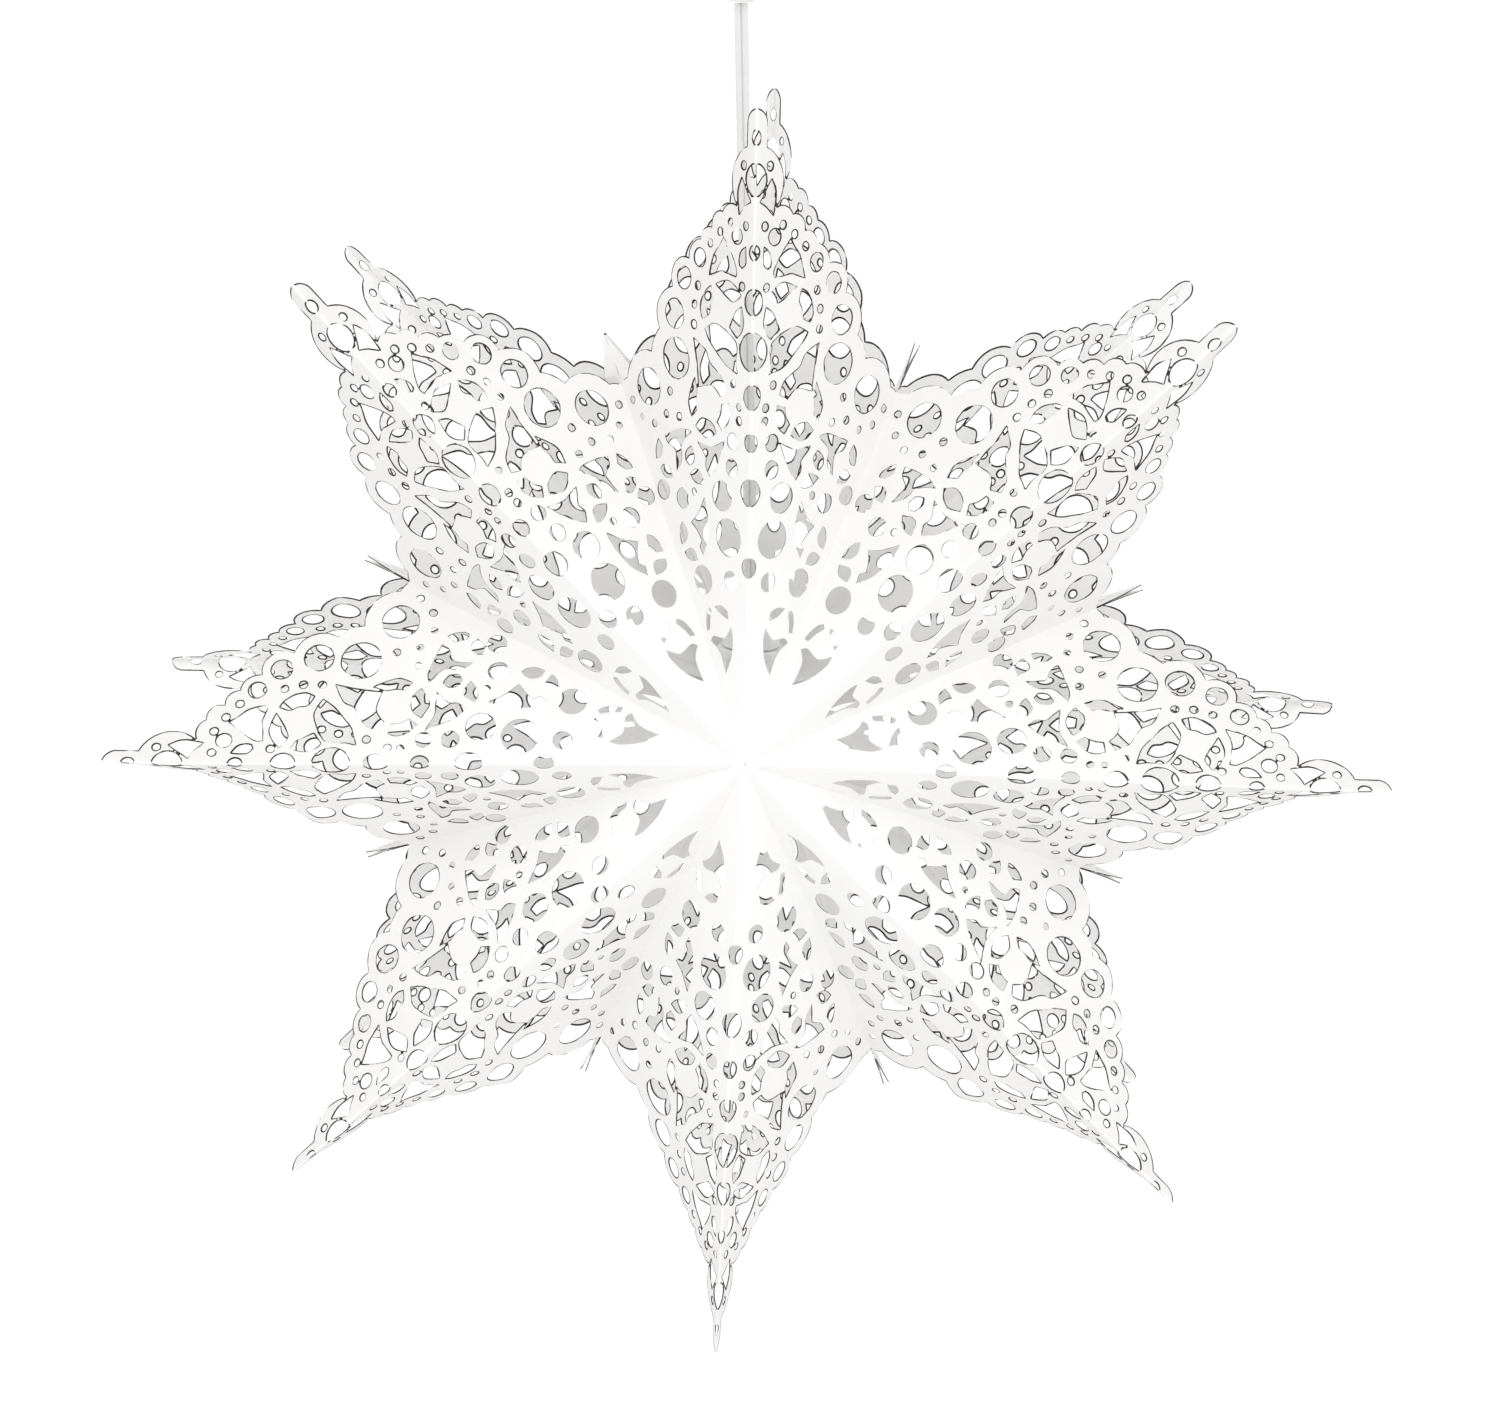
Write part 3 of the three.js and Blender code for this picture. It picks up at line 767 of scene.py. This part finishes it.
def add_flap(name, index, face, layers, body, node):
    """A seam's flap on the front or the back half, with one or two layers of card."""
    vertices, faces, scorch_and_shade = [], [], []
    for layer in layers:
        rows, across, edge = flap_grid(*layer, face, index)
        points, quads = flap_layer(rows, across, face == "front")
        faces += [tuple(k + len(vertices) for k in quad) for quad in quads]
        vertices += list(points)
        # Scorch with painted shade along the free edges of the sharp end.
        scorch_and_shade += [FLAP_SCORCH_AND_SHADE * edge.ravel()] * 2
    piece = add_mesh(name, vertices, faces, "flap_card")
    mark(piece, "scorch_and_shade", *scorch_and_shade)
    flatten(piece)
    install(piece, body, "flap_card", node)


def add_seams():
    """Seven seams are glued pairs of flaps. The eighth opens, and its sharp end is bent over."""
    for index in range(1, len(POINTS)):
        seam = f"{POINTS[index - 1]}_{POINTS[index]}"
        layers = [(side * CARD / 2, 0, side * SPLAY, 0) for side in (-1, 1)]
        for face in FACES:
            add_flap(f"{seam}_{face}_flap", index, face, layers, f"{seam}_seam", f"{seam}_{face}_seam")
    for point, side in (("north", -1), ("northwest", 1)):
        for face in FACES:
            bulge = side * SEAM_OPENING / 2 if face == "front" else 0
            layers = [(side * CLOSING_GAP, bulge, 0, TWIST["angle"])]
            node = f"{point}_{face}_closing_flap"
            add_flap(f"{point}_{face}_closing", 0, face, layers, f"{point}_closing_seam", node)


# --- Lamp and cord ---------------------------------------------------------------------------------

def turned_mesh(profile, sides=64, flutes=0, flute_depth=0.0, fluted=(0, 0)):
    """A solid turned round Z from (radius, z) pairs in millimetres, fluted between two heights."""
    vertices, rings = [], []
    for radius, z in profile:
        ring = []
        for i in range(sides if radius > 0 else 1):
            angle = math.tau * i / sides
            groove = flute_depth * (0.5 - 0.5 * math.cos(flutes * angle))
            reach = (radius - groove * (fluted[0] < z < fluted[1])) * MM
            ring.append(len(vertices))
            vertices.append((reach * math.cos(angle), reach * math.sin(angle), z * MM))
        rings.append(ring)
    faces = []
    for low, high in zip(rings, rings[1:]):
        for i in range(sides):
            j = (i + 1) % sides
            corners = [low[i % len(low)], low[j % len(low)], high[j % len(high)], high[i % len(high)]]
            faces.append(tuple(dict.fromkeys(corners)))
    return vertices, faces


def swept_mesh(section, path, up):
    """A closed tube: a flat section carried along a path, its width kept square to up."""
    path = np.array(path, float)
    count = len(section)
    vertices = []
    for i, place in enumerate(path):
        along = unit(path[min(i + 1, len(path) - 1)] - path[max(i - 1, 0)])
        wide = unit(np.cross(up, along))
        thick = np.cross(along, wide)
        vertices += [place + x * wide + y * thick for x, y in section]
    faces = [tuple(range(count))[::-1], tuple(range(len(vertices) - count, len(vertices)))]
    for i in range(len(path) - 1):
        low, high = i * count, (i + 1) * count
        faces += [(low + j, low + (j + 1) % count, high + (j + 1) % count, high + j) for j in range(count)]
    return vertices, faces


def joined(*meshes):
    """Several closed meshes as one list of vertices and faces."""
    vertices, faces = [], []
    for more, more_faces in meshes:
        faces += [tuple(k + len(vertices) for k in face) for face in more_faces]
        vertices += list(more)
    return vertices, faces


def ring_profile(radius, wire, steps=16):
    """The profile of a ring of round wire."""
    turn = np.linspace(0, math.tau, steps + 1)
    return [(radius + wire * math.cos(a), wire * math.sin(a)) for a in turn]


def round_section(radius, sides=16):
    """A round section for a swept tube."""
    return [(radius * math.cos(a), radius * math.sin(a)) for a in np.arange(sides) * math.tau / sides]


def twin_section(width):
    """Two round cores side by side in one sheath, with a groove between them."""
    core = width / 4
    groove = 2.9  # how far round each core its sheath is seen, in radians to each side
    sweep = np.linspace(-groove, groove, 17)
    right = [(core + core * math.cos(a), core * math.sin(a)) for a in sweep]
    return right + [(-x, -y) for x, y in right]


def add_lamp_piece(name, mesh, slot, node):
    """A piece that rides on the lamp."""
    install(add_mesh(name, *mesh, slot), "lamp", slot, node)


def add_hanger():
    """A bent wire: a ring round the holder's neck, with an arched arm and an eye towards each face."""
    wire, eye, rise = RING["wire"], 3.2 * MM, 1.2 * MM
    parts = [turned_mesh(ring_profile(RING["radius"] / MM, wire / MM))]
    reach = np.linspace(RING["radius"], HANGER_REACH - 2 * eye, 16)
    heights = rise * np.sin(np.linspace(0, math.pi, 16))
    turn = np.linspace(0, 1.8 * math.pi, 20)[1:]
    for side in (-1, 1):
        arch = [(0, side * y, z) for y, z in zip(reach, heights)]
        loop = [(eye * math.sin(a), side * (reach[-1] + eye * (1 - math.cos(a))), 0) for a in turn]
        parts.append(swept_mesh(round_section(wire), arch + loop, (0, 0, 1)))
    add_lamp_piece("wire_hanger", joined(*parts), "steel_wire", "hanger_wire")


def threaded(radius, depth, low, high):
    """Seven points up the side of a turned piece, in and out like a screw thread."""
    return [(radius - depth * (k % 2), z) for k, z in enumerate(np.linspace(low, high, 7))]


def add_holder():
    """The lamp holder: a threaded neck under a body with a fluted grip."""
    neck, body, collar = 13.5, 16.5, 1.4
    grip_low, grip_high = 5, 34
    holder = [(0, BASE["top"] + GAP), (neck - 0.8, BASE["top"] + GAP), (neck, BASE["top"] + 1.1)]
    holder += threaded(neck, 0.35, BASE["top"] + 1.4, -9.5)
    holder += [(neck, -1), (neck, collar), (body - 0.8, collar), (body, collar + 0.8)]
    holder += [(body, grip_low), (body, grip_low + 0.2), (body, grip_high - 0.2), (body, grip_high)]
    holder += [(body, HOLDER_TOP - 1), (body - 1, HOLDER_TOP), (0, HOLDER_TOP)]
    fluted = turned_mesh(holder, 96, 24, 0.7, (grip_low, grip_high))
    add_lamp_piece("holder_body", fluted, "white_plastic", "lamp_holder")


def add_cap():
    """The holder's domed cap, which the cord comes out of."""
    radius, bend = 14, 6
    dome = [
        (radius - bend + bend * math.cos(a), CAP_TOP - bend + bend * math.sin(a))
        for a in np.linspace(0, 1.45, 10)
    ]
    foot = [(0, HOLDER_TOP + GAP), (radius - 0.6, HOLDER_TOP + GAP), (radius, HOLDER_TOP + 1)]
    gland = [(5.2, CAP_TOP - 0.4), (4.6, CAP_TOP), (0, CAP_TOP)]
    add_lamp_piece("cap_dome", turned_mesh(foot + dome + gland), "white_plastic", "holder_cap")


def add_shade_ring():
    """The ring that would clamp a shade to the holder's neck. Its rim is fluted."""
    inner, outer, bottom, top = 13.9, 19, -8, -1.6
    rim = [(outer - 0.6, bottom), (outer, bottom + 0.6), (outer, bottom + 1.4), (outer - 0.6, bottom + 2)]
    profile = [(inner, bottom)] + rim + [(inner + 2, top), (inner, top), (inner, bottom)]
    clamp = turned_mesh(profile, 96, 32, 0.5, (bottom + 0.3, bottom + 1.7))
    add_lamp_piece("shade_clamp", clamp, "white_plastic", "shade_ring")


def add_collar():
    """The bulb's metal collar."""
    side = threaded(BASE["radius"], 0.4, BASE["bottom"], BASE["top"])
    profile = [(0, BASE["bottom"])] + side + [(0, BASE["top"])]
    add_lamp_piece("bulb_collar", turned_mesh(profile), "steel_wire", "bulb_base")


def add_bulb():
    """A round bulb whose glass runs up into its collar."""
    opening = math.asin(BULB["neck"] / BULB["radius"])
    centre = BASE["bottom"] - GAP - BULB["radius"] * math.cos(opening)
    angles = np.linspace(math.pi, opening, 40)
    globe = [(BULB["radius"] * math.sin(a), centre + BULB["radius"] * math.cos(a)) for a in angles]
    globe[0] = (0, globe[0][1])
    profile = globe + [(0, BASE["bottom"] - GAP)]
    add_lamp_piece("bulb_globe", turned_mesh(profile), "frosted_glass", "bulb_glass")


def add_pads():
    """The two closure pads lie between the closing flaps."""
    depth, along, radius, thickness = (PAD[size] for size in ("depth", "along", "radius", "thickness"))
    nap = 0.15
    edge = [
        (radius - nap + nap * math.sin(a), thickness / 2 * math.cos(a))
        for a in np.linspace(0, math.pi, 7)
    ]
    vertices, faces = turned_mesh([(0, thickness / 2)] + edge + [(0, -thickness / 2)], 48)
    out, across = on_circle(1, seam_azimuth(0)), on_circle(1, seam_azimuth(0) + math.pi / 2)
    swing = SEAM_SWING[0] * along / (NOTCH_RADIUS / MM)
    for name, side, point in (("hook_pad", -1, "north"), ("loop_pad", 1, "northwest")):
        centre = (along * out + [0, depth, 0] + (side * SEAM_OPENING / MM / 4 + swing) * across) * MM
        placed = [centre + x * out + y * np.array([0, 1, 0]) + z * across for x, y, z in vertices]
        pad = add_mesh(f"{name}_felt", placed, faces, "closure_felt")
        install(pad, f"{point}_closing_seam", "closure_felt", name)


def add_cord():
    """The flat twin cord, drawn straight by the star's weight, and the grip that holds its far end."""
    start = np.array([0, 0, (CAP_TOP + 2 * GAP) * MM])
    way = np.array([math.sin(CORD_LEAN), 0, math.cos(CORD_LEAN)])
    path = [start + way * CORD_LENGTH * i / CORD_STEPS for i in range(CORD_STEPS + 1)]
    cord = add_mesh("twin_cord", *swept_mesh(twin_section(CORD_WIDTH), path, (0, 1, 0)), "cord_sheath", 60)
    install(cord, "lamp", "cord_sheath", "lamp_cord")
    low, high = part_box("cord_grip")
    centre = (low + high) / 2
    radius, height = (high.x - low.x) / 2 / MM, (high.z - low.z) / MM
    foot, shoulder = 3, height - 1.2
    profile = [(0, 0), (radius - 1.5, 0), (radius, 1.5), (radius, foot), (radius, foot + 0.2)]
    profile += [(radius, shoulder - 0.1), (radius, shoulder + 0.2), (radius - 0.6, height), (0, height)]
    vertices, faces = turned_mesh(profile, 72, 18, 0.6, (foot, shoulder))
    placed = [(x + centre.x, y + centre.y, z + low.z) for x, y, z in vertices]
    grip = add_mesh("grip_barrel", placed, faces, "white_plastic")
    install(grip, "lamp", "white_plastic", "cord_grip")


# --- Camera, light and floor -----------------------------------------------------------------------

def add_camera():
    """Straight at the star from a little above it, at the height of a person's eyes."""
    camera = bpy.data.objects.new("camera", bpy.data.cameras.new("camera"))
    camera.data.lens = CAMERA["lens"]
    camera.data.sensor_width = 36
    place, target = Vector(CAMERA["place"]) * MM, Vector(CAMERA["target"]) * MM
    camera.matrix_world = (
        Matrix.Translation(place)
        @ (target - place).to_track_quat("-Z", "Y").to_matrix().to_4x4()
        @ Matrix.Rotation(CAMERA["roll"], 4, "Z")
    )
    bpy.context.scene.collection.objects.link(camera)
    bpy.context.scene.camera = camera


def add_light(name, place, softness, strength):
    """A far, wide softbox: a sun lamp with a large angle, aimed at the star from place."""
    lamp = bpy.data.lights.new(name, "SUN")
    lamp.angle = math.radians(softness)
    lamp.energy = strength
    light = bpy.data.objects.new(name, lamp)
    light.rotation_euler = (-Vector(place)).to_track_quat("-Z", "Y").to_euler()
    bpy.context.scene.collection.objects.link(light)


def add_floor():
    """A wide pale floor, well below the star."""
    half = FLOOR["half"]
    corners = [(x * half, y * half, FLOOR["height"]) for x, y in ((-1, -1), (1, -1), (1, 1), (-1, 1))]
    mesh = bpy.data.meshes.new("floor")
    mesh.from_pydata(corners, [], [(0, 1, 2, 3)])
    mesh.materials.append(floor_material())
    floor = bpy.data.objects.new("floor", mesh)
    bpy.context.scene.collection.objects.link(floor)


def add_surround():
    """White all round, with colours shown as they are."""
    world = bpy.data.worlds.new("surround")
    bpy.context.scene.world = world
    world.use_nodes = True
    background = world.node_tree.nodes["Background"]
    background.inputs["Color"].default_value = (1, 1, 1, 1)
    background.inputs["Strength"].default_value = 1
    bpy.context.scene.view_settings.view_transform = "Standard"


add_camera()
add_cord()
add_panels()
add_seams()
add_pads()
add_hanger()
add_holder()
add_cap()
add_shade_ring()
add_collar()
add_bulb()
add_floor()
add_surround()
add_light("key", place=(0.4, -2.0, 1.9), softness=40, strength=0.5)
